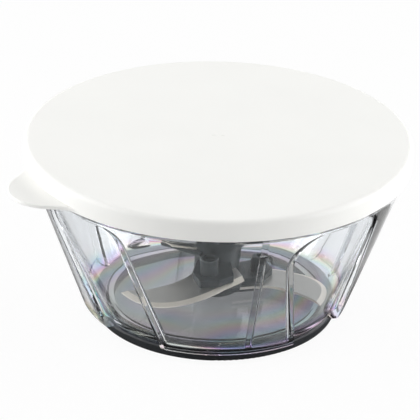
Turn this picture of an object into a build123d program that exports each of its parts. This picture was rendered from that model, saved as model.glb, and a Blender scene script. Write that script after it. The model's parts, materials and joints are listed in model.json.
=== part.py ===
"""Bowl of a hand food chopper, stored under its white lid, with the blade unit inside.

A clear moulded bowl with four leaning, arch-topped recesses in its wall stands on a grey non-slip
ring.  A steel pin in the middle of its floor carries the blade unit: a hollow column with three arms
at three heights, each holding a curved steel blade between the arm and a clamp plate.

Millimetres, +Z up.  The origin is the middle of the non-slip ring's underside, on the pin's axis.
The finger tab of the lid points to the left and a little forward, towards -X and -Y.
"""

import os
from math import atan, cos, hypot, radians, sin, tan

from build123d import *

# ---------------------------------------------------------------------------------------------
# Driving dimensions
# ---------------------------------------------------------------------------------------------

# Non-slip ring under the bowl
ring_height = 4.8
ring_ledge = 1.3  # how far the ring stands out beyond the recessed wall above it
ring_flare = 1.0  # how much wider it is at the top than at its foot
ring_foot_width = 8.4
ring_edge = 1.0

# Bowl
wall = 2.3
floor_thickness = 2.8
wall_foot_radius = 57.2  # outside of the raised wall, level with the bowl's underside
rim_radius = 80.3
shoulder_height = 64.2  # from the bowl's underside to where the upright rim begins
rim_height = 9.2
rim_edge = 0.7
toe_radius = 3.0
floor_corner_radius = 4.5
key_rib_width = 1.6  # rib under the floor that holds the non-slip ring
key_rib_depth = 3.0
key_rib_inset = 2.4  # between the ring's inside and the rib
groove_width = 3.0  # shallow groove round the edge of the floor
groove_depth = 0.6
groove_inset = 3.45  # between the groove's middle and the wall inside the recesses

# Arched recesses in the bowl's wall, drawn on a plane that lies on the wall
arch_count = 4
arch_azimuth = -42.5
arch_foot_depth = 5.1  # depth of the recess at the bowl's underside
arch_head_depth = 1.3  # and at its shoulder
arch_foot_left = 11.0
arch_foot_right = 20.7
arch_lean_left = 25.0  # how far the left side leans out from foot to head
arch_lean_right = 6.3  # how far the right side leans in
arch_shoulder_gap = 1.2  # plain wall between the arch's head and the shoulder
arch_left_corner = 14.5
arch_right_corner = 8.5
arch_draft = 15.0
arch_edge = 0.5

# Upright ribs inside the bowl that stop the food turning with the blades
stop_rib_count = 4
stop_rib_azimuth = -75.0
stop_rib_width = 2.6
stop_rib_depth = 2.4
stop_rib_height = 52.5

# Pivot
pin_radius = 2.5
pin_length = 28.0
pin_seat = 1.2  # floor left under the pin
pin_chamfer = 0.4
boss_radius = 5.6
boss_height = 5.6
boss_draft = 3.0

# Blade column
foot_gap = 0.5  # between the column's foot and the floor
column_radius = 9.0
column_length = 56.0
head_radius = 10.2
flare_start = 22.0  # above the column's foot
flare_length = 6.0
flare_rounding = 5.0
column_edge = 0.8
boss_clearance = 0.9  # between the bowl's boss and the column's hollow foot
bush_wall = 1.7
bush_length = 20.0
bush_flange_width = 1.2
bush_flange = 1.3
thrust_gap = 0.2
running_gap = 0.05
pin_end_gap = 1.0
socket_radius = 7.0
socket_depth = 9.0
drive_hex = 9.0  # across flats
drive_hex_depth = 12.0

# Arms, one for each blade: a plate whose outline is drawn outward (reach) and sideways (side)
arm_azimuth = 22.0  # of the lowest arm; each next one is a third of a turn back
arm_first_height = 14.7  # top of the lowest arm above the ring's underside
arm_step = 9.7
arm_thickness = 3.2
arm_reach = 26.4
arm_nose_side = 2.5
arm_cheek_reach = 23.4
arm_cheek_side = 5.4
arm_front_reach = 17.5
arm_front_side = 10.0
arm_back_reach = 17.8
arm_back_side = 6.8
arm_corner = 1.0
stud_offset = 17.6
stud_radius = 3.9
stud_height = 7.4
stud_edge = 0.6
stud_hollow_radius = 2.5
stud_hollow_depth = 1.8

# Blades and their clamp plates, drawn the same way
blade_thickness = 1.2
blade_root_reach = 13.5
blade_root_front = 13.2
blade_root_back = 8.0
blade_mid_reach = 28.6
blade_mid_side = 4.4
blade_belly_inset = 4.16  # how far the belly lies inside the circle of the tips
blade_belly_side = 12.0
blade_tip_radius = 49.0
blade_tip_side = 34.5
blade_hollow_reach = 28.8
blade_hollow_side = 20.0
blade_bevel = 2.4
blade_edge = 0.25
blade_gap = 0.15  # between a blade's root and the column
clamp_thickness = 1.7
clamp_front_reach = 20.5
clamp_front_side = 12.6
clamp_root_side = 11.0
clamp_corner = 1.6
clamp_pin_radius = 1.6
pin_shortfall = 0.3  # how far the clamp's pin ends below the stud's hollow
fit_gap = 0.03

# Storage lid
lid_plate = 1.8
lid_skirt = 9.0
lid_skirt_wall = 1.6
lid_rim_gap = 0.6
lid_edge = 2.4
lid_lip_width = 1.2
lid_lip_depth = 4.0
lid_lip_gap = 0.35
gate_radius = 0.9
gate_depth = 0.15
gate_spacing = 3.8
tab_azimuth = -150.0
tab_reach = 14.5
tab_nose_radius = 17.0
tab_side_angle = 55.0  # how far round its nose the tab is round
tab_thickness = 1.7
tab_flare = 12.0
tab_edge = 0.6

# ---------------------------------------------------------------------------------------------
# Heights and radii that follow
# ---------------------------------------------------------------------------------------------

underside_z = ring_height
floor_z = underside_z + floor_thickness
shoulder_z = underside_z + shoulder_height
rim_z = shoulder_z + rim_height
boss_z = floor_z + boss_height
bush_z = boss_z + thrust_gap
column_foot_z = floor_z + foot_gap
column_top_z = column_foot_z + column_length
pin_foot_z = underside_z + pin_seat
pin_top_z = pin_foot_z + pin_length
lid_radius = rim_radius + lid_rim_gap + lid_skirt_wall
lid_top_z = rim_z + lid_plate
skirt_z = lid_top_z - lid_skirt
bush_radius = pin_radius + running_gap + bush_wall

wall_slope = (rim_radius - wall_foot_radius) / shoulder_height
recess_foot_radius = wall_foot_radius - arch_foot_depth
recess_head_radius = rim_radius - arch_head_depth
recess_slope = (recess_head_radius - recess_foot_radius) / shoulder_height
wall_lean = atan(wall_slope)
wall_across = wall / cos(wall_lean)  # the wall's thickness measured level

ring_top_radius = recess_foot_radius + ring_ledge
ring_foot_radius = ring_top_radius - ring_flare
ring_inner_radius = ring_foot_radius - ring_foot_width
key_rib_radius = ring_inner_radius + key_rib_inset
groove_radius = recess_foot_radius - wall_across - groove_inset

BLADES = ("lower", "middle", "upper")
beyond = 2.0  # how far a cutting shape runs past the face it cuts


def wall_radius(z):
    """Outside radius of the raised wall at height z."""
    return wall_foot_radius + wall_slope * (z - underside_z)


def recess_radius(z):
    """Outside radius of the recessed wall at height z."""
    return recess_foot_radius + recess_slope * (z - underside_z)


def turned_plane(azimuth, z):
    """Level plane at height z whose X points outward at this azimuth."""
    return Plane(
        origin=(0, 0, z),
        x_dir=(cos(radians(azimuth)), sin(radians(azimuth)), 0),
        z_dir=(0, 0, 1),
    )


def upright_plane(azimuth):
    """Plane through the axis: X outward at this azimuth, Y up."""
    out = Vector(cos(radians(azimuth)), sin(radians(azimuth)), 0)
    return Plane(origin=(0, 0, 0), x_dir=out, z_dir=out.cross(Vector(0, 0, 1)))


# ---------------------------------------------------------------------------------------------
# Non-slip ring: a soft ring with a channel that takes the rib under the bowl
# ---------------------------------------------------------------------------------------------

channel_inner = key_rib_radius - fit_gap
channel_outer = key_rib_radius + key_rib_width + fit_gap
channel_floor = ring_height - key_rib_depth - fit_gap

with BuildPart() as base_ring:
    with BuildSketch(Plane.XZ):
        with BuildLine():
            Polyline(
                (ring_inner_radius, 0),
                (ring_foot_radius, 0),
                (ring_top_radius, ring_height),
                (channel_outer, ring_height),
                (channel_outer, channel_floor),
                (channel_inner, channel_floor),
                (channel_inner, ring_height),
                (ring_inner_radius, ring_height),
                close=True,
            )
        outline = make_face()
        corners = outline.vertices().sort_by(Axis.X)
        fillet(corners[-2:], ring_edge)
    revolve(axis=Axis.Z)

base_ring.part.label = "base_ring"

# ---------------------------------------------------------------------------------------------
# Bowl
# ---------------------------------------------------------------------------------------------

arch_head = (shoulder_height - arch_shoulder_gap) / cos(wall_lean)  # measured up the wall
arch_inset = rim_radius * (1 - cos(radians(90 / arch_count))) + arch_foot_depth + wall_across


def arch_plane(azimuth, depth):
    """Plane inside the raised wall at this azimuth: X to the right, Y up the wall."""
    out = Vector(cos(radians(azimuth)), sin(radians(azimuth)), 0)
    right = Vector(0, 0, 1).cross(out)
    up = Vector(0, 0, 1) + out * wall_slope
    outward = right.cross(up).normalized()
    foot = out * wall_foot_radius + Vector(0, 0, underside_z)
    return Plane(origin=foot - outward * depth, x_dir=right, z_dir=outward)


def arch_block(azimuth, grow, cone_inset):
    """All that lies inside an arch's outline, grown by this much, and outside the recessed wall
    when that is moved in by cone_inset.  Its sides open outward by the draft."""
    drop = -(arch_foot_depth + arch_inset)
    shrink = arch_inset * tan(radians(arch_draft)) - grow
    left_slope = arch_lean_left / arch_head
    right_slope = arch_lean_right / arch_head
    foot_z = underside_z + 2 * drop
    with BuildPart(mode=Mode.PRIVATE) as block:
        with BuildSketch(arch_plane(azimuth, arch_inset)):
            with BuildLine():
                Polyline(
                    (-arch_foot_left - left_slope * drop + shrink, drop),
                    (-arch_foot_left - arch_lean_left + shrink, arch_head - shrink),
                    (arch_foot_right - arch_lean_right - shrink, arch_head - shrink),
                    (arch_foot_right - right_slope * drop - shrink, drop),
                    close=True,
                )
            outline = make_face()
            head = outline.vertices().group_by(Axis.Y)[-1].sort_by(Axis.X)
            outline = fillet(head[0], arch_left_corner - shrink)
            head = outline.vertices().group_by(Axis.Y)[-1].sort_by(Axis.X)
            fillet(head[-1], arch_right_corner - shrink)
        extrude(amount=arch_inset + wall, taper=-arch_draft)
        with BuildSketch(Plane.XZ):
            with BuildLine():
                Polyline(
                    (0, foot_z),
                    (recess_radius(foot_z) - cone_inset, foot_z),
                    (recess_radius(rim_z) - cone_inset, rim_z),
                    (0, rim_z),
                    close=True,
                )
            make_face()
        revolve(axis=Axis.Z, mode=Mode.SUBTRACT)
    return block.part


def is_arch_edge(edge):
    """True for an edge that an arch's side makes with the wall, which is not a circle or a line."""
    return edge.geom_type not in (GeomType.CIRCLE, GeomType.LINE)


arches = [arch_azimuth + i * 360 / arch_count for i in range(arch_count)]
inner_rim_radius = rim_radius - wall
inner_shoulder_z = shoulder_z + (wall_across - wall) / wall_slope
groove_round = (groove_width**2 / 4 + groove_depth**2) / (2 * groove_depth)

with BuildPart() as cavity:
    with BuildSketch(Plane.XZ):
        with BuildLine():
            Polyline(
                (0, floor_z),
                (wall_radius(floor_z) - wall_across, floor_z),
                (inner_rim_radius, inner_shoulder_z),
                (inner_rim_radius, rim_z + beyond),
                (0, rim_z + beyond),
                close=True,
            )
        outline = make_face()
        foot = outline.vertices().group_by(Axis.Y)[0].sort_by(Axis.X)
        fillet(foot[-1], floor_corner_radius)
        with Locations((groove_radius, floor_z + groove_round - groove_depth)):
            Circle(groove_round)
    revolve(axis=Axis.Z)
    for azimuth in arches:
        add(arch_block(azimuth, wall, wall_across), mode=Mode.SUBTRACT)

with BuildPart() as bowl:
    with BuildSketch(Plane.XZ):
        with BuildLine():
            Polyline(
                (0, underside_z),
                (wall_foot_radius, underside_z),
                (rim_radius, shoulder_z),
                (rim_radius, rim_z),
                (0, rim_z),
                close=True,
            )
        outline = make_face()
        toe = outline.vertices().group_by(Axis.Y)[0].sort_by(Axis.X)
        fillet(toe[-1], toe_radius)
    revolve(axis=Axis.Z)
    for azimuth in arches:
        add(arch_block(azimuth, 0, 0), mode=Mode.SUBTRACT)
    fillet(bowl.edges().filter_by(is_arch_edge), arch_edge)
    add(cavity.part, mode=Mode.SUBTRACT)
    rim_edges = bowl.edges().filter_by(GeomType.CIRCLE).group_by(Axis.Z)[-1]
    fillet(rim_edges, rim_edge)
    # rib that holds the ring
    with BuildSketch(Plane.XY.offset(underside_z)):
        Circle(key_rib_radius + key_rib_width)
        Circle(key_rib_radius, mode=Mode.SUBTRACT)
    extrude(amount=-key_rib_depth)
    # boss for the pin
    with BuildSketch(Plane.XY.offset(floor_z - floor_thickness / 2)):
        Circle(boss_radius + tan(radians(boss_draft)) * (floor_thickness / 2))
    extrude(amount=boss_height + floor_thickness / 2, taper=boss_draft)
    # upright ribs on the inside of the raised wall
    rib_top_z = floor_z + stop_rib_height
    for i in range(stop_rib_count):
        with BuildSketch(upright_plane(stop_rib_azimuth + i * 360 / stop_rib_count)):
            with BuildLine():
                Polyline(
                    (wall_radius(floor_z) - wall_across - stop_rib_depth, floor_z - wall / 2),
                    (wall_radius(floor_z) - wall_across, floor_z - wall / 2),
                    (wall_radius(floor_z) - wall_across / 2, floor_z),
                    (wall_radius(rib_top_z) - wall_across / 2, rib_top_z),
                    (wall_radius(rib_top_z) - wall_across - stop_rib_depth, rib_top_z),
                    (wall_radius(floor_z) - wall_across - stop_rib_depth, floor_z),
                    close=True,
                )
            make_face()
        extrude(amount=stop_rib_width / 2, both=True)
    # hole for the pin
    with Locations(Plane.XY.offset(boss_z)):
        Hole(pin_radius + fit_gap, depth=boss_z - pin_foot_z)

bowl.part.label = "bowl"

# ---------------------------------------------------------------------------------------------
# Pivot pin
# ---------------------------------------------------------------------------------------------

with BuildPart() as pivot_pin:
    with BuildSketch(Plane.XY.offset(pin_foot_z)):
        Circle(pin_radius)
    extrude(amount=pin_length)
    chamfer(pivot_pin.edges().filter_by(GeomType.CIRCLE), pin_chamfer)

pivot_pin.part.label = "pivot_pin"

# ---------------------------------------------------------------------------------------------
# Bush: a plain bearing in the column, with a flange that runs on the boss
# ---------------------------------------------------------------------------------------------

bush_flange_radius = bush_radius + bush_flange_width

with BuildPart() as column_bush:
    with BuildSketch(Plane.XY.offset(bush_z)):
        Circle(bush_radius)
    extrude(amount=bush_length)
    with BuildSketch(Plane.XY.offset(bush_z)):
        Circle(bush_flange_radius)
    extrude(amount=bush_flange)
    with BuildSketch(Plane.XY.offset(bush_z)):
        Circle(pin_radius + running_gap)
    extrude(amount=bush_length, mode=Mode.SUBTRACT)

column_bush.part.label = "column_bush"

# ---------------------------------------------------------------------------------------------
# Blade column with its three arms and studs
# ---------------------------------------------------------------------------------------------


def arm_azimuth_of(i):
    """Azimuth of an arm, counted from the lowest."""
    return arm_azimuth - i * 360 / len(BLADES)


def arm_top_of(i):
    """Height of an arm's top."""
    return arm_first_height + i * arm_step


arms = range(len(BLADES))
flare_z = column_foot_z + flare_start
flange_seat_z = bush_z + bush_flange
bush_top_z = bush_z + bush_length
pin_space_z = pin_top_z + pin_end_gap
socket_z = column_top_z - socket_depth
foot_bore = boss_radius + boss_clearance

with BuildPart() as blade_column:
    with BuildSketch(Plane.XZ):
        with BuildLine():
            Polyline(
                (0, column_foot_z),
                (column_radius, column_foot_z),
                (column_radius, flare_z),
                (head_radius, flare_z + flare_length),
                (head_radius, column_top_z),
                (0, column_top_z),
                close=True,
            )
        outline = make_face()
        flare = outline.vertices().filter_by_position(Axis.Y, flare_z, flare_z + flare_length)
        outline = fillet(flare, flare_rounding)
        ends = outline.vertices().sort_by(Axis.X)
        ends = ends.filter_by_position(Axis.X, column_radius, head_radius)
        fillet([ends.sort_by(Axis.Y)[0], ends.sort_by(Axis.Y)[-1]], column_edge)
    revolve(axis=Axis.Z)
    for i in arms:
        arm_z = arm_top_of(i) - arm_thickness
        with BuildSketch(turned_plane(arm_azimuth_of(i), arm_z)):
            with BuildLine():
                Polyline(
                    (0, -arm_back_side),
                    (arm_back_reach, -arm_back_side),
                    (arm_reach, -arm_nose_side),
                    (arm_cheek_reach, arm_cheek_side),
                    (arm_front_reach, arm_front_side),
                    (0, arm_cheek_side),
                    close=True,
                )
            outline = make_face()
            fillet(outline.vertices().sort_by(Axis.X)[2:], arm_corner)
        extrude(amount=arm_thickness)
        with BuildSketch(turned_plane(arm_azimuth_of(i), arm_z)):
            with Locations((stud_offset, 0)):
                Circle(stud_radius)
        extrude(amount=arm_thickness + stud_height)
    stud_tops = blade_column.edges().filter_by(GeomType.CIRCLE).filter_by(
        lambda edge: abs(edge.radius - stud_radius) < fit_gap
        and any(abs(edge.center().Z - arm_top_of(i) - stud_height) < fit_gap for i in arms)
    )
    fillet(stud_tops, stud_edge)
    for i in arms:
        stud_top_z = arm_top_of(i) + stud_height
        with BuildSketch(turned_plane(arm_azimuth_of(i), stud_top_z)):
            with Locations((stud_offset, 0)):
                Circle(stud_hollow_radius)
        extrude(amount=-stud_hollow_depth, mode=Mode.SUBTRACT)
        with BuildSketch(turned_plane(arm_azimuth_of(i), stud_top_z)):
            with Locations((stud_offset, 0)):
                Circle(clamp_pin_radius + fit_gap)
        extrude(amount=-(stud_height + arm_thickness), mode=Mode.SUBTRACT)
    # hollow foot, seat of the bush, space over the pin
    with BuildSketch(Plane.XY.offset(column_foot_z)):
        Circle(foot_bore)
    extrude(amount=flange_seat_z - column_foot_z, mode=Mode.SUBTRACT)
    with BuildSketch(Plane.XY.offset(flange_seat_z)):
        Circle(bush_radius + fit_gap)
    extrude(amount=bush_top_z + fit_gap - flange_seat_z, mode=Mode.SUBTRACT)
    with BuildSketch(Plane.XY.offset(bush_top_z)):
        Circle(bush_radius - bush_wall / 2)
    extrude(amount=pin_space_z - bush_top_z, mode=Mode.SUBTRACT)
    # drive socket: a round mouth with a hexagon below it
    with BuildSketch(Plane.XY.offset(column_top_z)):
        Circle(socket_radius)
    extrude(amount=-socket_depth, mode=Mode.SUBTRACT)
    with BuildSketch(Plane.XY.offset(socket_z)):
        RegularPolygon(radius=drive_hex / 2, side_count=6, major_radius=False)
    extrude(amount=-drive_hex_depth, mode=Mode.SUBTRACT)

blade_column.part.label = "blade_column"

# ---------------------------------------------------------------------------------------------
# Blades and clamp plates
# ---------------------------------------------------------------------------------------------

blade_tip_reach = (blade_tip_radius**2 - blade_tip_side**2) ** 0.5
blade_belly_radius = blade_tip_radius - blade_belly_inset
blade_belly_reach = (blade_belly_radius**2 - blade_belly_side**2) ** 0.5


# Both are drawn with their outward direction along X and the joint between them at height zero

with BuildPart() as blade_form:
    with BuildSketch():
        with BuildLine():
            Spline(
                (blade_root_reach, blade_root_front),
                (blade_mid_reach, blade_mid_side),
                (blade_belly_reach, -blade_belly_side),
                (blade_tip_reach, -blade_tip_side),
            )
            ThreePointArc(
                (blade_tip_reach, -blade_tip_side),
                (blade_hollow_reach, -blade_hollow_side),
                (blade_root_reach, -blade_root_back),
            )
            Polyline(
                (blade_root_reach, -blade_root_back),
                (0, -blade_root_back),
                (0, blade_root_front / 2),
                (blade_root_reach, blade_root_front),
            )
        make_face()
        Circle(column_radius + blade_gap, mode=Mode.SUBTRACT)
        with Locations((stud_offset, 0)):
            Circle(clamp_pin_radius + fit_gap, mode=Mode.SUBTRACT)
    extrude(amount=blade_thickness)
    blade_top = blade_form.faces().sort_by(Axis.Z)[-1]
    cutting_edge = blade_top.edges().filter_by(GeomType.BSPLINE)
    chamfer(cutting_edge, blade_bevel, blade_thickness - blade_edge, reference=blade_top)

stud_hollow_floor = blade_thickness + arm_thickness + stud_height - stud_hollow_depth

with BuildPart() as clamp_form:
    with BuildSketch():
        with BuildLine():
            Polyline(
                (0, -arm_back_side),
                (arm_back_reach, -arm_back_side),
                (arm_reach, -arm_nose_side),
                (arm_cheek_reach, arm_cheek_side),
                (clamp_front_reach, clamp_front_side),
                (0, clamp_root_side),
                close=True,
            )
        outline = make_face()
        fillet(outline.vertices().sort_by(Axis.X)[2:], clamp_corner)
        Circle(column_radius + fit_gap, mode=Mode.SUBTRACT)
    extrude(amount=-clamp_thickness)
    with BuildSketch():
        with Locations((stud_offset, 0)):
            Circle(clamp_pin_radius)
    extrude(amount=stud_hollow_floor - pin_shortfall)

# ---------------------------------------------------------------------------------------------
# Storage lid
# ---------------------------------------------------------------------------------------------

skirt_inner_radius = lid_radius - lid_skirt_wall
lip_outer_radius = inner_rim_radius - lid_lip_gap
tab_nose_reach = lid_radius + tab_reach - tab_nose_radius
nose_end = (
    tab_nose_reach + tab_nose_radius * cos(radians(tab_side_angle)),
    tab_nose_radius * sin(radians(tab_side_angle)),
)
side_end = (
    nose_end[0] - tab_reach * sin(radians(tab_side_angle)),
    nose_end[1] + tab_reach * cos(radians(tab_side_angle)),
)

# finger tab, level with the skirt's lower edge, on a band that lies inside the skirt
with BuildPart() as finger_tab:
    with BuildSketch(turned_plane(tab_azimuth, skirt_z)) as tab:
        Circle(lid_radius)
        with Locations((tab_nose_reach, 0)):
            Circle(tab_nose_radius)
        Polygon(
            (nose_end[0], -nose_end[1]),
            (nose_end[0], nose_end[1]),
            (side_end[0], side_end[1]),
            (side_end[0], -side_end[1]),
            align=None,
        )
        roots = tab.vertices().filter_by(
            lambda corner: abs(hypot(corner.X, corner.Y) - lid_radius) < fit_gap
            and abs(corner.Y) > fit_gap
        )
        fillet(roots, tab_flare)
    extrude(amount=tab_thickness)
    top_and_bottom = finger_tab.edges().group_by(Axis.Z)
    fillet(top_and_bottom[0] + top_and_bottom[-1], tab_edge)
    with BuildSketch(Plane.XY.offset(skirt_z)):
        Circle(lid_radius - lid_skirt_wall / 2)
    extrude(amount=tab_thickness, mode=Mode.SUBTRACT)

with BuildPart() as storage_lid:
    with BuildSketch(Plane.XZ):
        with BuildLine():
            Polyline(
                (0, lid_top_z),
                (lid_radius, lid_top_z),
                (lid_radius, skirt_z),
                (skirt_inner_radius, skirt_z),
                (skirt_inner_radius, rim_z),
                (lip_outer_radius, rim_z),
                (lip_outer_radius, rim_z - lid_lip_depth),
                (lip_outer_radius - lid_lip_width, rim_z - lid_lip_depth),
                (lip_outer_radius - lid_lip_width, rim_z),
                (0, rim_z),
                close=True,
            )
        outline = make_face()
        outer_corner = outline.vertices().group_by(Axis.Y)[-1].sort_by(Axis.X)
        fillet(outer_corner[-1], lid_edge)
    revolve(axis=Axis.Z)
    add(finger_tab.part)
    # two gate marks in the middle of the top
    with BuildSketch(Plane.XY.offset(lid_top_z)):
        with GridLocations(gate_spacing, gate_spacing, 2, 1):
            Circle(gate_radius)
    extrude(amount=-gate_depth, mode=Mode.SUBTRACT)

storage_lid.part.label = "storage_lid"

# ---------------------------------------------------------------------------------------------
# One file for each piece
# ---------------------------------------------------------------------------------------------

os.makedirs("parts", exist_ok=True)
export_step(base_ring.part, "parts/base_ring.step")
export_step(bowl.part, "parts/bowl.step")
export_step(pivot_pin.part, "parts/pivot_pin.step")
export_step(column_bush.part, "parts/column_bush.step")
export_step(blade_column.part, "parts/blade_column.step")
export_step(storage_lid.part, "parts/storage_lid.step")
for i, name in enumerate(BLADES):
    joint_z = arm_top_of(i) - arm_thickness - blade_thickness
    with BuildPart(Location((0, 0, joint_z), (0, 0, arm_azimuth_of(i)))) as blade:
        add(blade_form.part)
    blade.part.label = f"{name}_blade"
    export_step(blade.part, f"parts/{name}_blade.step")
    with BuildPart(Location((0, 0, joint_z), (0, 0, arm_azimuth_of(i)))) as clamp:
        add(clamp_form.part)
    clamp.part.label = f"{name}_clamp"
    export_step(clamp.part, f"parts/{name}_clamp.step")
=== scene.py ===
"""Looks of a hand food chopper's bowl, stored under its white lid with the blade unit inside.

Metres, +Z up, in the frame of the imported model: the origin is the middle of the non-slip ring's
underside.  The clear bowl is made again here as one smooth shell in the place of its CAD solid,
so that light bends cleanly in it.  The other pieces keep their CAD meshes.  Every piece gets its
finish here.
"""

import json
from math import atan, atan2, cos, hypot, pi, radians, sin, sqrt, tan

import bmesh
import bpy
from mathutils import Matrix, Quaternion, Vector


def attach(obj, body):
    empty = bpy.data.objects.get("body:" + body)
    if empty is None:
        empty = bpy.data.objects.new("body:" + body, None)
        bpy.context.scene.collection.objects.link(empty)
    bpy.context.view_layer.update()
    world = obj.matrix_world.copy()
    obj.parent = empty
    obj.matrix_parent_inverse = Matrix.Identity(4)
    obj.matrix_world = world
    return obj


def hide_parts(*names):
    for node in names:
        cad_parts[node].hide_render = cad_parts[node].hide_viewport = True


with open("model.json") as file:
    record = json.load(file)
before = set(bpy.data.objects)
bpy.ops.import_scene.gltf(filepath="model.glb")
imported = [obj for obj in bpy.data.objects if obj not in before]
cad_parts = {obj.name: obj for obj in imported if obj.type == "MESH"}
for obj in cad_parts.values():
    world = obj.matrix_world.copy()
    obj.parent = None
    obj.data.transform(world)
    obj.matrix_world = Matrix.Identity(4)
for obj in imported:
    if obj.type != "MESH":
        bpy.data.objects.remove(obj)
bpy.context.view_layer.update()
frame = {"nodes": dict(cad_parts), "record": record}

mm = 0.001

# ---------------------------------------------------------------------------------------------
# Sizes of the clear bowl, in millimetres and degrees
# ---------------------------------------------------------------------------------------------

underside_z, floor_z, shoulder_z, rim_z = 4.8, 7.6, 69.0, 78.2
pressed_in = 0.06  # how far the bowl is pressed into the soft ring, which shows wet through it
rim_radius, inner_rim_radius = 80.3, 78.0
wall_foot_radius, inner_wall_foot_radius = 57.2, 54.76
wall_slope = 0.35981  # how far the wall leans out for each millimetre up
wall_lean = atan(wall_slope)
wall_across = 2.444  # the wall's thickness measured level
recess_foot_radius, recess_slope, recess_depth = 52.1, 0.41900, 5.0

arch_azimuth, arch_count = -42.5, 4
arch_foot_left, arch_foot_right = 11.0, 20.7
arch_lean_left, arch_lean_right = 25.0, 6.3
arch_head = 66.95  # measured up the wall
arch_left_corner, arch_right_corner = 14.5, 8.5
arch_draft = tan(radians(15.0))
inner_arch_grow, inner_arch_drop = 1.9, 3.4  # how much wider and lower they are on the inside
raised_margin, sunk_margin = 0.35, 0.5  # beside the rounded edges and corners of an arch
# how far an arch's edges are rounded, as a share of the step there
outside_edge_share, most_outside_edge, inside_edge_share = 0.3, 0.45, 0.42

stop_rib_azimuth = -75.0  # of the first of the four ribs inside the bowl
stop_rib_width, stop_rib_depth, stop_rib_top = 2.6, 2.4, 60.1
# across the rib in half widths, and the share of its depth there
stop_rib_profile = [
    (-1.3, 0), (-1.05, 0.06), (-1, 0.85), (-0.8, 1), (0.8, 1), (1, 0.85), (1.05, 0.06), (1.3, 0)
]

outside_foot_round, outside_recess_round = 2.1, 0.35
inside_foot_round, inside_recess_round = 3.1, 1.9

# radius and height down the underside from the foot to the axis, past the rib in the ring's groove
under_z, key_rib_z = underside_z - pressed_in, 1.8
under_profile = [
    (50.5, under_z), (48.0, under_z), (48.0, key_rib_z), (46.4, key_rib_z), (46.4, under_z),
    (25.0, under_z), (0, under_z),
]

# radius and height over the floor from the foot to the axis: a shallow groove, then the pin's boss
floor_profile = [
    (48.3, floor_z), (47.7, floor_z), (47.2, 7.27), (46.7, 7.07), (46.2, 7.0), (45.7, 7.07),
    (45.2, 7.27), (44.7, floor_z), (28.0, floor_z), (12.0, floor_z), (6.4, floor_z), (5.95, 7.8),
    (5.62, 12.9), (5.3, 13.2), (2.53, 13.2), (2.53, 6.0), (0, 6.0),
]

# over the rim, from the outside (share 0) to the inside (share 1): share, radius and height
rim_profile = [
    (0, rim_radius, shoulder_z), (0, rim_radius, 73.0), (0, rim_radius, 77.5),
    (0.05, 80.22, 77.85), (0.1, 79.98, 78.08), (0.2, 79.6, rim_z), (0.8, 78.7, rim_z),
    (0.9, 78.32, 78.08), (0.95, 78.08, 77.85), (1, inner_rim_radius, 77.5),
    (1, inner_rim_radius, 73.0), (1, inner_rim_radius, 69.4),
]

# how finely the shell is divided
straight_rows, corner_rows, head_columns, panel_columns = 20, 14, 12, 16
columns_before_rib, columns_after_rib = 4, 5
edge_steps, foot_steps, evening_rows = 4, 5, 7
inward_run = 10  # any length longer than a rounding
cone_tries, draft_tries = 12, 4
weld_distance = 0.002 * mm
smooth_angle = 38  # an edge that turns further than this stays sharp

# ---------------------------------------------------------------------------------------------
# Finishes
# ---------------------------------------------------------------------------------------------


class Amount:
    """A number, colour or surface on its way through the nodes.  Numbers add up like any other."""

    def __init__(self, nodes, socket):
        self.nodes, self.socket = nodes, socket

    def sum(self, operation, *terms):
        return self.nodes.node("ShaderNodeMath", {"operation": operation}, dict(enumerate(terms)))

    def __add__(self, other):
        return self.sum("ADD", self, other)

    def __sub__(self, other):
        return self.sum("SUBTRACT", self, other)

    def __mul__(self, other):
        return self.sum("MULTIPLY", self, other)

    def __truediv__(self, other):
        return self.sum("DIVIDE", self, other)

    def __radd__(self, other):
        return self.sum("ADD", other, self)

    def __rsub__(self, other):
        return self.sum("SUBTRACT", other, self)

    def __rmul__(self, other):
        return self.sum("MULTIPLY", other, self)

    def __abs__(self):
        return self.sum("ABSOLUTE", self)

    def fraction(self):
        return self.sum("FRACT", self)

    def clamped(self):
        """This number held between 0 and 1."""
        return self.sum("MAXIMUM", self.sum("MINIMUM", self, 1.0), 0.0)

    def rise(self, start, end):
        """0 below start, 1 above end and a smooth rise between them; end may lie below start."""
        span = {"Value": self, "From Min": start, "From Max": end}
        return self.nodes.node("ShaderNodeMapRange", {"interpolation_type": "SMOOTHSTEP"}, span)


class Nodes:
    """The nodes of one finish or of the surround."""

    def __init__(self, tree):
        self.tree = tree

    def node(self, kind, settings, inputs, output=0):
        """A node of this kind: its settings first, then the values or links of its sockets."""
        made = self.tree.nodes.new(kind)
        for name, value in settings.items():
            if name == "stops":
                ramp = made.color_ramp.elements
                while len(ramp) < len(value):
                    ramp.new(1.0)
                for stop, (position, colour) in zip(ramp, value):
                    stop.position, stop.color = position, (*colour, 1.0)
            else:
                setattr(made, name, value)
        for name, value in inputs.items():
            if isinstance(value, Amount):
                self.tree.links.new(value.socket, made.inputs[name])
            else:
                made.inputs[name].default_value = value
        return Amount(self, made.outputs[output])

    def ray(self, kind):
        """1 for the light that is followed as this kind of ray, 0 for the rest."""
        return self.node("ShaderNodeLightPath", {}, {}, f"Is {kind} Ray")

    def link(self, value, node_name, socket):
        self.tree.links.new(value.socket, self.tree.nodes[node_name].inputs[socket])


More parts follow.
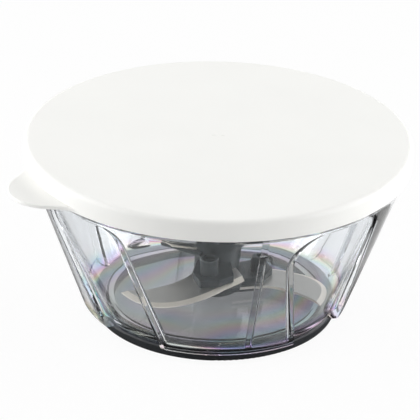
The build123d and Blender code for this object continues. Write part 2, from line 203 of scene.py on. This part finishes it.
class Finish(Nodes):
    """A material of one plastic, rubber or steel surface, and the nodes that vary it."""

    def __init__(self, name, **fixed):
        self.material = bpy.data.materials.new(name)
        self.material.use_nodes = True
        super().__init__(self.material.node_tree)
        shader = self.tree.nodes["Principled BSDF"]
        for socket, value in fixed.items():
            shader.inputs[socket.replace("_", " ")].default_value = value
        self.surface = Amount(self, shader.outputs[0])
        self.place = self.node("ShaderNodeTexCoord", {}, {}, "Object")

    def feed(self, socket, value):
        self.link(value, "Principled BSDF", socket)

    def show(self, surface):
        self.link(surface, "Material Output", "Surface")

    def noise(self, waves, detail=2.0, roughness=0.5):
        """Noise with this many waves a metre."""
        values = {"Vector": self.place, "Scale": waves, "Detail": detail, "Roughness": roughness}
        return self.node("ShaderNodeTexNoise", {}, values)

    def axis(self, name):
        """Object coordinate X, Y or Z, in metres."""
        return self.node("ShaderNodeSeparateXYZ", {}, {0: self.place}, name)

    def radius(self):
        """Distance from the object's upright axis, in metres."""
        level = {0: self.place, 1: (1, 1, 0)}
        level = self.node("ShaderNodeVectorMath", {"operation": "MULTIPLY"}, level)
        return self.node("ShaderNodeVectorMath", {"operation": "LENGTH"}, {0: level}, "Value")

    def blend(self, mask, low, high):
        """Colour low where the mask is 0, high where it is 1."""
        settings = {"data_type": "RGBA"}
        return self.node("ShaderNodeMix", settings, {0: mask, 6: low, 7: high}, 2)

    def tint(self, mask, low, high):
        """Colour low times the colour high, as far as the mask says."""
        settings = {"data_type": "RGBA", "blend_type": "MULTIPLY"}
        return self.node("ShaderNodeMix", settings, {0: mask, 6: low, 7: high}, 2)

    def cloud(self, waves, low, high):
        """Colour that drifts between low and high, with this many waves a metre."""
        return self.blend(self.noise(waves, 3.0), low, high)

    def uneven_gloss(self, smoothest, spread, waves):
        """Roughness that rises from the smoothest by up to this spread."""
        self.feed("Roughness", smoothest + spread * self.noise(waves))

    def grain(self, waves, depth):
        """Moulded grain of this many waves a metre, this many metres deep."""
        inputs = {"Height": self.noise(waves), "Distance": depth, "Strength": 1.0}
        self.feed("Normal", self.node("ShaderNodeBump", {}, inputs))

    def surfaces(self, mask, low, high):
        """Surface low where the mask is 0, high where it is 1."""
        return self.node("ShaderNodeMixShader", {}, {0: mask, 1: low, 2: high})

    def show_through_to_lamps(self):
        """Lets the lamps' light pass, so that what is behind the surface is lit."""
        opening = self.node("ShaderNodeBsdfTransparent", {}, {})
        self.show(self.surfaces(self.ray("Shadow"), self.surface, opening))


def rgb(red, green, blue):
    """A colour as written on a screen, 0 to 255, as a shader takes it."""
    levels = [level / 255 for level in (red, green, blue)]
    linear = [v / 12.92 if v < 0.04045 else ((v + 0.055) / 1.055) ** 2.4 for v in levels]
    return (*linear, 1.0)


strain_colours = [
    (0.0, (0.74, 0.58, 1.0)),
    (0.17, (0.48, 0.71, 1.0)),
    (0.34, (0.47, 0.93, 0.90)),
    (0.5, (0.88, 0.98, 0.52)),
    (0.66, (1.0, 0.71, 0.50)),
    (0.83, (0.97, 0.52, 0.77)),
    (1.0, (0.74, 0.58, 1.0)),
]
strain_rings_out, strain_rings_up = 70.0, 26.0  # in a metre
strain_drift = 3.2  # how many rings the pattern strays
palest_patch = 0.25  # share of the strain's colour that is left between its patches


def clear_plastic():
    """Clear moulded plastic, with painted shade where it is seen edge on, the pastel colours that
    the strain of moulding leaves near the floor, and painted shade in the stop ribs, near black
    above the blades."""
    made = Finish("clear_plastic", Transmission_Weight=1.0, IOR=1.45, Roughness=0.02)
    height, radius = made.axis("Z"), made.radius()
    # painted shade: the plastic turns dark grey where it is seen edge on
    painted_edge_shade = made.node("ShaderNodeLayerWeight", {}, {"Blend": 0.5}, "Facing").rise(0.94, 0.997)
    clear = made.blend(painted_edge_shade, rgb(245, 247, 249), rgb(70, 76, 82))

    # painted shade: the stop ribs are tinted grey, and near black above the blades' height
    rib = in_stop_rib(made, height, radius)
    above_blades = height.rise(53.5 * mm, 56.5 * mm)
    rib_painted_shade = made.blend(above_blades, rgb(190, 193, 196), rgb(10, 12, 14))
    clear = made.tint(rib, clear, rib_painted_shade)

    drift = strain_drift * made.noise(17.0, 1.5, 0.4)
    phase = (drift + strain_rings_out * radius + strain_rings_up * height).fraction()
    colours = made.node("ShaderNodeValToRGB", {"stops": strain_colours}, {0: phase})
    near_floor = height.rise(15 * mm, 6 * mm) * radius.rise(12 * mm, 46 * mm)
    patches = made.noise(38.0, 1.0, 0.4).rise(0.36, 0.66)
    strain = near_floor * (palest_patch + (1 - palest_patch) * patches)
    made.feed("Base Color", made.tint(strain, clear, colours))
    made.show_through_to_lamps()
    return made.material


def in_stop_rib(made, height, radius):
    """1 in the four ribs inside the bowl's wall, 0 elsewhere."""
    across = made.axis("Y")
    turn = across.sum("ARCTAN2", across, made.axis("X"))
    quarter = (turn / (pi / 2) + (0.5 - stop_rib_azimuth / 90)).fraction()
    beside_rib = abs(quarter - 0.5) * radius * (pi / 2)
    wall_radius = (inner_wall_foot_radius - underside_z * wall_slope) * mm + wall_slope * height
    inside_wall = (wall_radius - radius).rise(0.1 * mm, 0.9 * mm)
    above_foot = height.rise(9.5 * mm, 11.5 * mm)
    return beside_rib.rise(1.7 * mm, 1.2 * mm) * inside_wall * above_foot


def white_plastic():
    made = Finish("white_plastic", IOR=1.46, Roughness=0.5)
    made.feed("Base Color", made.cloud(35.0, rgb(244, 244, 241), rgb(248, 248, 245)))
    made.uneven_gloss(0.46, 0.1, 900.0)
    made.grain(2600.0, 0.04 * mm)
    return made.material


def slate_plastic():
    made = Finish("slate_plastic", IOR=1.48, Roughness=0.4)
    made.feed("Base Color", made.cloud(120.0, rgb(21, 30, 32), rgb(30, 39, 41)))
    made.uneven_gloss(0.34, 0.14, 700.0)
    made.grain(3000.0, 0.03 * mm)
    return made.material


def grey_rubber():
    """Dark grey rubber. Its top is painted light, much lighter than the rubber, where it shows
    through the bowl's floor, with a painted shadow, nearly black, where it shows through the front
    of the bowl's foot."""
    made = Finish("grey_rubber", IOR=1.5, Roughness=0.6)
    # flank: the rubber's own dark grey, painted darker still as shade
    flank = made.cloud(150.0, rgb(20, 23, 27), rgb(29, 32, 36))
    # painted light: the top is much lighter than the rubber, where it shows through the bowl's
    # floor
    top = made.cloud(150.0, rgb(196, 198, 201), rgb(205, 207, 210))
    # painted shadow: the outer band of the top is darker all round and nearly black at the front,
    # wider there
    front = made.axis("Y").rise(-12 * mm, -38 * mm)
    outer_top = made.blend(front, rgb(150, 153, 156), rgb(16, 20, 30))
    wider_in_front = made.radius() + 3.6 * mm * front
    top = made.blend(wider_in_front.rise(47.8 * mm, 48.4 * mm), top, outer_top)
    made.feed("Base Color", made.blend(made.axis("Z").rise(4.3 * mm, 4.7 * mm), flank, top))
    made.uneven_gloss(0.5, 0.2, 900.0)
    made.grain(3500.0, 0.04 * mm)
    return made.material


def bush_plastic():
    made = Finish("bush_plastic", IOR=1.48, Roughness=0.35)
    made.feed("Base Color", made.cloud(200.0, rgb(205, 203, 196), rgb(217, 215, 208)))
    return made.material


def steel(name, low, high, smoothest, ground=None):
    """Steel, with its ground edges in a colour of their own if that is given."""
    made = Finish(name, Metallic=1.0, Roughness=smoothest)
    colour = made.cloud(220.0, low, high)
    if ground:
        normal = made.node("ShaderNodeNewGeometry", {}, {}, "True Normal")
        upright = abs(made.node("ShaderNodeSeparateXYZ", {}, {0: normal}, "Z"))
        colour = made.blend(upright.rise(0.995, 0.97), colour, ground)
    made.feed("Base Color", colour)
    made.uneven_gloss(smoothest, 0.12, 1500.0)
    return made.material


finishes = {
    "clear_plastic": clear_plastic(),
    "white_plastic": white_plastic(),
    "slate_plastic": slate_plastic(),
    "grey_rubber": grey_rubber(),
    "bush_plastic": bush_plastic(),
    "pin_steel": steel("pin_steel", rgb(170, 170, 170), rgb(190, 190, 188), 0.2),
    "blade_steel": steel(
        "blade_steel", rgb(176, 174, 170), rgb(192, 190, 186), 0.28, ground=rgb(238, 231, 220)
    ),
}

for subpart in frame["record"]["subparts"]:
    node = frame["nodes"][subpart["node"]]
    for material_slot in node.material_slots:
        material_slot.material = finishes[subpart["material_slot"]]


def added(name, data):
    """The object of this name in the scene, made of this mesh, lamp or camera."""
    made = bpy.data.objects.new(name, data)
    bpy.context.scene.collection.objects.link(made)
    return made


def placed(name, form, node_name, body, slot):
    """The finished piece in place of its CAD node, riding on its body."""
    bmesh.ops.recalc_face_normals(form, faces=form.faces)
    for face in form.faces:
        face.smooth = True
    for edge in form.edges:
        edge.smooth = edge.calc_face_angle(0.0) < radians(smooth_angle)
    mesh = bpy.data.meshes.new(name)
    form.to_mesh(mesh)
    form.free()
    mesh.materials.append(finishes[slot])
    made = added(name, mesh)
    made.modifiers.new("weighted", "WEIGHTED_NORMAL").keep_sharp = True
    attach(made, body)
    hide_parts(node_name)


# ---------------------------------------------------------------------------------------------
# Clear bowl
# ---------------------------------------------------------------------------------------------


def turned(azimuth, radius, z):
    """Point at this azimuth in radians, in millimetres."""
    return Vector((radius * cos(azimuth), radius * sin(azimuth), z))


def azimuth_of(point):
    return atan2(point.y, point.x)


def rounded(before, corner, after, reach, steps):
    """Points of a rounded corner that leaves its two sides this far from the corner."""
    start = corner + (before - corner).normalized() * reach
    end = corner + (after - corner).normalized() * reach
    shares = [i / steps for i in range(steps + 1)]
    return [start * (1 - s) ** 2 + corner * (2 * s * (1 - s)) + end * s * s for s in shares]


class ArchSide:
    """One side of the bowl's wall with its four arches: the outside, or the inside, which is
    inset, has wider arches with a lower head, and has the stop ribs.  The function edge_reach
    gives how far an arch's edges are rounded where its step is this high."""

    def __init__(self, inset, grow, head, edge_reach, ribbed):
        self.inset, self.grow, self.head = inset, grow, head
        self.edge_reach, self.ribbed = edge_reach, ribbed

    def on_cone(self, arch, x, y, recessed):
        """Point of the raised or the recessed wall over (x, y) of the arch's plane, and how far
        it lies off that plane."""
        azimuth = radians(arch_azimuth + arch * 360 / arch_count)
        out, right = turned(azimuth, 1, 0), turned(azimuth + pi / 2, 1, 0)
        up = (Vector((0, 0, 1)) + out * wall_slope).normalized()
        outward = right.cross(up)
        foot = turned(azimuth, wall_foot_radius, underside_z)
        radius, slope = wall_foot_radius, wall_slope
        if recessed:
            radius, slope = recess_foot_radius, recess_slope
        depth = 0.0
        for _ in range(cone_tries):
            point = foot + right * x + up * y + outward * depth
            wanted = radius + slope * (point.z - underside_z) - self.inset
            depth -= (hypot(point.x, point.y) - wanted) * cos(wall_lean)
        return point, depth

    def outline(self):
        """The arch's outline from its left foot over the head to its right foot: x, y and the
        direction away from the arch."""
        turn = pi / 2 - atan(arch_lean_left / arch_head)
        start = self.head - arch_left_corner * (1 - cos(turn))
        levels = [start * i / straight_rows for i in range(straight_rows)]
        for i in range(corner_rows + 1):
            angle = turn * (1 - i / corner_rows)
            levels.append(self.head - arch_left_corner * (1 - cos(angle)))
        sides = []
        for sign, foot, lean, corner in (
            (-1, -arch_foot_left, -arch_lean_left, arch_left_corner),
            (1, arch_foot_right, -arch_lean_right, arch_right_corner),
        ):
            along = Vector((lean, arch_head)).normalized()
            away = Vector((along.y, -along.x)) * sign
            centre_y = self.head - corner
            centre_x = foot + (-corner - centre_y * away.y) / away.x
            centre = Vector((centre_x, centre_y))
            end_y = centre_y + corner * away.y
            side = []
            for y in levels:
                if y <= end_y:
                    place, direction = Vector((foot + lean * y / arch_head, y)), away
                else:
                    rise = min(1.0, (y - centre_y) / corner)
                    direction = Vector((sign * sqrt(1 - rise * rise), rise))
                    place = centre + direction * corner
                side.append((place + direction * self.grow, direction))
            sides.append(side)
        left, right = sides
        over = []
        for i in range(1, head_columns):
            place = left[-1][0].lerp(right[-1][0], i / head_columns)
            over.append((place, Vector((0, 1))))
        return left + over + right[::-1]

    def edge_band(self, arch):
        """Sections through the arch's edge, all round its outline: raised wall, rounded edge,
        side, rounded corner, recessed wall."""
        band = []
        for place, away in self.outline():
            ends = []
            for recessed in (False, True):
                spot = place.copy()
                for _ in range(draft_tries):
                    _, depth = self.on_cone(arch, spot.x, spot.y, recessed)
                    spot = place + away * (depth * arch_draft)
                ends.append((spot, self.on_cone(arch, spot.x, spot.y, recessed)[0]))
            (edge_spot, edge), (corner_spot, corner) = ends
            reach = self.edge_reach((edge - corner).length)
            outer_spot = edge_spot + away * (reach + raised_margin)
            inner_spot = corner_spot - away * (reach + sunk_margin)
            outer = self.on_cone(arch, outer_spot.x, outer_spot.y, False)[0]
            inner = self.on_cone(arch, inner_spot.x, inner_spot.y, True)[0]
            section = [outer, *rounded(outer, edge, corner, reach, edge_steps)]
            section += [*rounded(edge, corner, inner, reach, edge_steps), inner]
            band.append((section, inner_spot))
        return band

    def patches(self):
        """Every patch of this side as rows of points, with the azimuth growing along each row.
        The patches that reach the foot, and the uppermost rows, are kept for what joins them."""
        rows = straight_rows + corner_rows
        bands = [self.edge_band(arch) for arch in range(arch_count)]
        made, self.foot, self.top = [], [], []
        for arch, band in enumerate(bands):
            following = bands[(arch + 1) % arch_count]
            left = [section for section, _ in band[: rows + 1]]
            right = [section[::-1] for section, _ in band[: rows + head_columns - 1 : -1]]
            head = [section for section, _ in band[rows : rows + head_columns + 1]]
            recess = []
            for row in range(rows + 1):
                start, end = band[row][1], band[-1 - row][1]
                line = []
                for i in range(head_columns + 1):
                    spot = start.lerp(end, i / head_columns)
                    line.append(self.on_cone(arch, spot.x, spot.y, True)[0])
                line[0], line[-1] = left[row][-1], right[row][0]
                recess.append(line)
            recess[rows] = [section[-1] for section in head]
            panel = []
            for row in range(rows + 1):
                start, end = right[row][-1], following[row][0][0]
                panel.append(self.panel_line(arch, start, end))
            self.top.append([section[0] for section in head] + panel[rows][1:])
            self.foot.append((left, recess, right, panel))
            made += [left, recess, right, panel, head]
        return made

    def panel_line(self, arch, start, end):
        """Points along the raised wall from this arch to the next, with the stop rib on the
        way."""
        first, last = azimuth_of(start), azimuth_of(end)
        last += 2 * pi if last < first else 0
        line = []
        for azimuth, share in self.panel_spots(arch, start, first, last):
            z = start.z + (end.z - start.z) * (azimuth - first) / (last - first)
            depth = stop_rib_depth * share if z < stop_rib_top else 0.0
            radius = wall_foot_radius + wall_slope * (z - underside_z) - self.inset - depth
            line.append(turned(azimuth, radius, z))
        line[0], line[-1] = start, end
        return line

    def panel_spots(self, arch, start, first, last):
        """Azimuths of a panel's columns, each with its share of the stop rib's depth."""
        if not self.ribbed:
            step = last - first
            return [(first + step * i / panel_columns, 0) for i in range(panel_columns + 1)]
        rib = radians(stop_rib_azimuth + (arch + 1) * 360 / arch_count)
        rib = first + (rib - first) % (2 * pi)
        half = stop_rib_width / 2 / hypot(start.x, start.y)
        reach = stop_rib_profile[-1][0] * half
        before, after = rib - reach - first, rib + reach - last
        spots = [(first + before * i / columns_before_rib, 0) for i in range(columns_before_rib)]
        spots += [(rib + at * half, share) for at, share in stop_rib_profile]
        for i in reversed(range(columns_after_rib)):
            spots.append((last + after * i / columns_after_rib, 0))
        return spots


def sheet(form, lines):
    """A grid whose points are these lines of points, in millimetres."""
    columns, rows = len(lines[0]) - 1, len(lines) - 1
    made = bmesh.ops.create_grid(form, x_segments=columns, y_segments=rows, size=1)
    points = [point for line in lines for point in line]
    for vertex, point in zip(made["verts"], points):
        vertex.co = point * mm


def foot_lines(side, base_z, raised_round, recess_round, profile):
    """Rounds the wall's foot over into the level face at base_z, and follows the turned profile
    to the axis.  The wall's lowest rows are moved to where the rounding starts."""
    raised = wall_foot_radius + wall_slope * (base_z - underside_z) - side.inset
    columns = []
    for quarter in side.foot:
        for patch in quarter:
            for i, (low, high) in enumerate(zip(patch[0], patch[1])):
                share = (base_z - low.z) / (high.z - low.z)
                corner = low.lerp(high, share)
                radius = hypot(corner.x, corner.y)
                sunk = min(1.0, max(0.0, (raised - radius) / recess_depth))
                reach = raised_round + (recess_round - raised_round) * sunk
                inward = turned(azimuth_of(corner), radius - inward_run, base_z)
                bend = rounded(high, corner, inward, reach, foot_steps)
                patch[0][i] = bend[0]
                columns.append((azimuth_of(corner), bend))
            if patch is not quarter[-1]:
                columns.pop()
    first, count = columns[0][0], len(columns)
    made = []
    for i, (azimuth, bend) in enumerate(columns):
        # towards the axis the columns are spread evenly, so that none gets too thin to shade well
        even = first + 2 * pi * i / count
        even += 2 * pi * round((azimuth - even) / (2 * pi))
        column = list(bend)
        for row, (radius, z) in enumerate(profile):
            share = min(1.0, max(0.0, row - 1) / evening_rows)
            column.append(turned(azimuth + (even - azimuth) * share, radius, z))
        made.append(column)
    made.append(made[0])
    return [list(line) for line in zip(*made)]


def rim_lines(outside, inside):
    """From the outside's uppermost row over the rim to the inside's."""
    outer_top = [point for quarter in outside.top for point in quarter[:-1]]
    inner_top = [point for quarter in inside.top for point in quarter[:-1]]
    made = []
    for outer, inner in zip(outer_top, inner_top):
        start, end = azimuth_of(outer), azimuth_of(inner)
        end += 2 * pi * round((start - end) / (2 * pi))
        column = [turned(start + (end - start) * share, r, z) for share, r, z in rim_profile]
        made.append([outer, *column, inner])
    made.append(made[0])
    return [list(line) for line in zip(*made)]


def clear_bowl():
    def outside_edge(step):
        return min(most_outside_edge, outside_edge_share * step)

    def inside_edge(step):
        return inside_edge_share * step

    inner_head = arch_head - inner_arch_drop
    outside = ArchSide(0.0, 0.0, arch_head, outside_edge, ribbed=False)
    inside = ArchSide(wall_across, inner_arch_grow, inner_head, inside_edge, ribbed=True)
    sheets = outside.patches() + inside.patches()
    sheets += [
        foot_lines(outside, under_z, outside_foot_round, outside_recess_round, under_profile),
        foot_lines(inside, floor_z, inside_foot_round, inside_recess_round, floor_profile),
        rim_lines(outside, inside),
    ]
    form = bmesh.new()
    for lines in sheets:
        sheet(form, lines)
    bmesh.ops.remove_doubles(form, verts=form.verts, dist=weld_distance)
    return form


placed("clear_bowl", clear_bowl(), "bowl", "bowl", "clear_plastic")

# ---------------------------------------------------------------------------------------------
# Floor, light and camera
# ---------------------------------------------------------------------------------------------

floor_half_width, floor_drop = 3.0, 0.2 * mm
floor_glow, floor_gloom = 1.0, 0.08  # the white of the background, and the painted dark reflection that gloss shows of it
# how far the floor glows white, and hides its shadow: as it is seen, and through the bowl
glow_seen, glow_under_bowl, glow_beside_bowl = 0.93, 0.1, 0.98
# share of the painted dark reflection in what gloss shows of the floor, away from the right
gloom_reflected = 0.75
surround_light = 0.34  # how strongly the white surround lights the object

# name, place, what it points at, width in metres and power in watts
lamps = [
    ("lamp_above", (0.0, 0.25, 1.1), (0, 0, 0.06), 1.0, 2.7),
    ("lamp_left", (-0.95, 0.1, 0.38), (0, 0, 0.04), 0.7, 8.2),
    ("lamp_right", (0.95, 0.1, 0.38), (0, 0, 0.04), 0.7, 7.6),
    ("lamp_front", (0.0, -1.3, 0.45), (0, 0, 0.05), 1.0, 2.3),
]

camera_place, camera_aim = Vector((0, -1.05126, 0.55852)), Vector((-0.00278, 0, 0.04489))
camera_roll = 1.45
lens_in_pixels, picture_pixels, sensor_width = 2726.3, 420, 36.0


def floor():
    form = bmesh.new()
    bmesh.ops.create_grid(form, x_segments=1, y_segments=1, size=floor_half_width)
    mesh = bpy.data.meshes.new("floor")
    form.to_mesh(mesh)
    form.free()
    mesh.materials.append(floor_finish())
    made = added("floor", mesh)
    made.location.z = -floor_drop


def floor_finish():
    """White floor that shows as a white background and keeps a soft shadow of the object, with a
    painted shadow in its colour under the bowl.  What the glossy wall shows of it is a painted
    dark reflection, except at the right, and what is seen bent through the bowl where the bowl
    stands is darker."""
    made = Finish("floor", Roughness=0.9)
    radius = made.radius()
    # painted shadow: the floor's colour is darker near the axis, under the bowl
    floor_colour_with_painted_shadow = made.blend(radius.rise(50 * mm, 70 * mm), rgb(225, 226, 227), rgb(236, 236, 236))
    made.feed("Base Color", floor_colour_with_painted_shadow)
    white = made.node("ShaderNodeEmission", {}, {"Strength": floor_glow})
    # painted reflection: the floor shows near black to glossy rays, except at the right
    dark = made.node("ShaderNodeEmission", {}, {"Strength": floor_gloom})
    at_right = made.axis("X").rise(62 * mm, 85 * mm)
    gloom = made.ray("Glossy") * (gloom_reflected - gloom_reflected * at_right)
    beside_bowl = radius.rise(50 * mm, 60 * mm)
    glow_bent = glow_under_bowl + (glow_beside_bowl - glow_under_bowl) * beside_bowl
    glow = glow_seen * made.ray("Camera") + glow_bent * made.ray("Transmission")
    lit = made.surfaces(gloom, made.surface, dark)
    made.show(made.surfaces(glow.clamped(), lit, white))
    return made.material


def area_lamp(name, place, target, width, power):
    lamp = bpy.data.lights.new(name, "AREA")
    lamp.shape, lamp.size, lamp.size_y, lamp.energy = "RECTANGLE", width, width, power
    made = added(name, lamp)
    made.location = place
    made.rotation_euler = (Vector(target) - Vector(place)).to_track_quat("-Z", "Y").to_euler()


def white_surround():
    """White where it is seen, also in a reflection or through the bowl, and a softer light."""
    world = bpy.data.worlds.new("surround")
    bpy.context.scene.world = world
    world.use_nodes = True
    made = Nodes(world.node_tree)
    seen = (made.ray("Camera") + made.ray("Transmission") + made.ray("Glossy")).clamped()
    world.node_tree.nodes["Background"].inputs["Color"].default_value = (1, 1, 1, 1)
    made.link(surround_light + (1 - surround_light) * seen, "Background", "Strength")


def camera():
    """Camera at the photograph's viewing angle: its place and aim come from the lid's and the
    ring's ellipses, its lens from how much smaller the ring's far side looks."""
    data = bpy.data.cameras.new("camera")
    data.sensor_width, data.lens = sensor_width, sensor_width * lens_in_pixels / picture_pixels
    made = added("camera", data)
    made.location = camera_place
    made.rotation_mode = "QUATERNION"
    roll = Quaternion((0, 0, 1), radians(camera_roll))
    made.rotation_quaternion = (camera_aim - camera_place).to_track_quat("-Z", "Y") @ roll
    bpy.context.scene.camera = made


floor()
white_surround()
for lamp in lamps:
    area_lamp(*lamp)
camera()
bpy.context.scene.view_settings.view_transform = "Standard"
